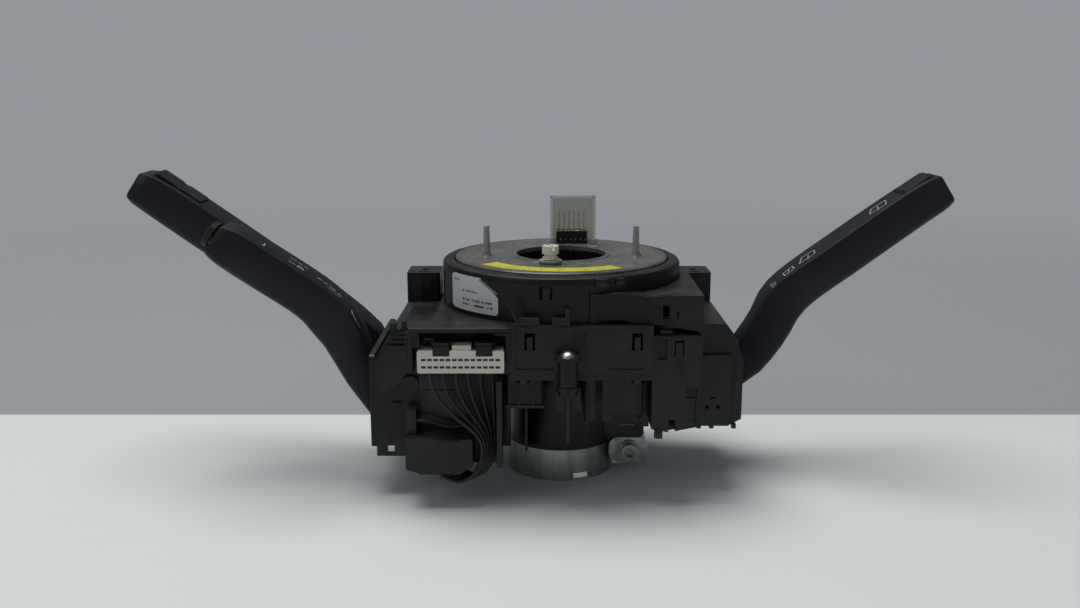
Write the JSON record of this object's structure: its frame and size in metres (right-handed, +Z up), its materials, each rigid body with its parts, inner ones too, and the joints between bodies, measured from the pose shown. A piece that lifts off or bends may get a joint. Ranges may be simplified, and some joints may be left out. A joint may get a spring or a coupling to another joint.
{
  "type": "steering angle sensor",
  "caption": "Steering column switch cluster with a geared steering angle sensor, contact ring, three stalks and an aluminium column clamp.",
  "frame": {"origin": "on the steering column axis, at the bottom face of the clamp ring", "axes": "+Z up the column towards the driver, +X to the driver's right, +Y towards twelve o'clock"},
  "size_m": [0.4108, 0.1299, 0.1475],
  "materials": {
    "housing_black": "fine moulded texture, satin",
    "stalk_blue_black": "soft satin",
    "button_black": "matt",
    "clamp_aluminium": "cast and turned",
    "screw_steel": "plated steel",
    "plug_ivory": "moulded, satin",
    "disc_translucent": "translucent, dusty",
    "peg_translucent": "milky translucent",
    "lock_white": "moulded",
    "contact_metal": "tinned contact",
    "board_green": "lacquered circuit board",
    "chip_black": "moulded chip",
    "gear_plastic": "unfilled moulding",
    "magnet_grey": "sintered",
    "wire_black": "soft sheath",
    "ribbon_amber": "flat flexible cable"
  },
  "bodies": {
    "root": {"base_housing": "housing_black", "board_header": "housing_black", "clamp_ring": "clamp_aluminium", "clamp_screw": "screw_steel", "connector_hood": "housing_black", "cross_wire": "wire_black", "front_screw": "screw_steel", "hall_chips": "chip_black", "harness_box": "housing_black", "housing_screws": "screw_steel", "left_flange": "housing_black", "left_switch_housing": "housing_black", "loop_wire_1": "wire_black", "loop_wire_2": "wire_black", "loop_wire_3": "wire_black", "loop_wire_4": "wire_black", "loop_wire_5": "wire_black", "loop_wire_6": "wire_black", "main_plug": "plug_ivory", "plug_latches": "housing_black", "ribbon_cable": "ribbon_amber", "right_flange": "housing_black", "right_front_box": "housing_black", "right_switch_housing": "housing_black", "ring_housing": "housing_black", "ring_rim": "housing_black", "ring_screws": "screw_steel", "sensor_board": "board_green", "sensor_housing": "housing_black", "socket_pins": "contact_metal", "upper_right_cover": "housing_black", "vehicle_socket": "housing_black"},
    "rotor": {"rotor_hub": "housing_black", "rotor_disc": "disc_translucent", "sensor_hub_gear": "gear_plastic", "plug_tower": "peg_translucent", "plug_insert": "button_black", "plug_pins": "contact_metal"},
    "lock": {"lock_screw": "lock_white"},
    "gear_a": {"measuring_gear_a": "gear_plastic", "magnet_a": "magnet_grey"},
    "gear_b": {"measuring_gear_b": "gear_plastic", "magnet_b": "magnet_grey"},
    "turn_carrier": {"turn_carrier": "housing_black", "turn_pivot_pin": "screw_steel"},
    "turn_stalk": {"turn_stalk": "stalk_blue_black", "turn_plunger": "gear_plastic"},
    "turn_rocker": {"turn_rocker": "button_black"},
    "cruise_carrier": {"cruise_carrier": "housing_black", "cruise_pivot_pin": "screw_steel"},
    "cruise_stalk": {"cruise_stalk": "stalk_blue_black", "cruise_plunger": "gear_plastic"},
    "cruise_button": {"cruise_button": "button_black"},
    "wiper_carrier": {"wiper_carrier": "housing_black", "wiper_pivot_pin": "screw_steel"},
    "wiper_stalk": {"wiper_stalk": "stalk_blue_black", "wiper_plunger": "gear_plastic"},
    "wiper_button": {"wiper_button": "button_black"}
  },
  "joints": [
    {"name": "rotor_spin", "type": "hinge", "parent": "root", "child": "rotor", "pos_m": [0, 0, 0.1], "axis": [0, 0, 1], "range_deg": [-900, 900]},
    {"name": "gear_a_spin", "type": "hinge", "parent": "root", "child": "gear_a", "pos_m": [-0.03533, 0.0204, 0.073], "axis": [0, 0, 1], "range_deg": [-2200, 2200]},
    {"name": "gear_b_spin", "type": "hinge", "parent": "root", "child": "gear_b", "pos_m": [0.03637, 0.021, 0.073], "axis": [0, 0, 1], "range_deg": [-2000, 2000]},
    {"name": "lock_screw_turn", "type": "hinge", "parent": "rotor", "child": "lock", "pos_m": [-0.0055, -0.0275, 0.105], "axis": [0, 0, 1], "range_deg": [0, 90]},
    {"name": "turn_signal", "type": "hinge", "parent": "root", "child": "turn_carrier", "pos_m": [-0.071, 0.017, 0.048], "axis": [0, 0, 1], "range_deg": [-5.5, 5.5]},
    {"name": "turn_flash", "type": "hinge", "parent": "turn_carrier", "child": "turn_stalk", "pos_m": [-0.071, 0.017, 0.048], "axis": [0, 1, 0], "range_deg": [-4, 4], "stiffness_Nm_per_rad": 10},
    {"name": "turn_rocker_tilt", "type": "hinge", "parent": "turn_stalk", "child": "turn_rocker", "pos_m": [-0.19263, 0.02019, 0.1376], "axis": [0, 1, 0], "range_deg": [-4, 4], "stiffness_Nm_per_rad": 0.3},
    {"name": "cruise_set", "type": "hinge", "parent": "root", "child": "cruise_carrier", "pos_m": [-0.071, -0.022, 0.048], "axis": [0, 0, 1], "range_deg": [-4, 4], "stiffness_Nm_per_rad": 8},
    {"name": "cruise_lift", "type": "hinge", "parent": "cruise_carrier", "child": "cruise_stalk", "pos_m": [-0.071, -0.022, 0.048], "axis": [0, 1, 0], "range_deg": [-4, 4], "stiffness_Nm_per_rad": 8},
    {"name": "cruise_press", "type": "slide", "parent": "cruise_stalk", "child": "cruise_button", "axis": [0.8291, 0, -0.5591], "range_m": [0, 0.0015], "stiffness_N_per_m": 600},
    {"name": "wiper_wash", "type": "hinge", "parent": "root", "child": "wiper_carrier", "pos_m": [0.071, 0.005, 0.0503], "axis": [0, 0, 1], "range_deg": [-6, 6], "stiffness_Nm_per_rad": 8},
    {"name": "wiper_speed", "type": "hinge", "parent": "wiper_carrier", "child": "wiper_stalk", "pos_m": [0.071, 0.005, 0.0503], "axis": [0, 1, 0], "range_deg": [-4, 4], "stiffness_Nm_per_rad": 10},
    {"name": "wiper_press", "type": "slide", "parent": "wiper_stalk", "child": "wiper_button", "axis": [0.5705, 0, -0.8213], "range_m": [0, 0.0012], "stiffness_N_per_m": 600}
  ],
  "couplings": [
    {"joint": "gear_a_spin", "follows": "rotor_spin", "ratio": -2.4},
    {"joint": "gear_b_spin", "follows": "rotor_spin", "ratio": -2.1818}
  ]
}
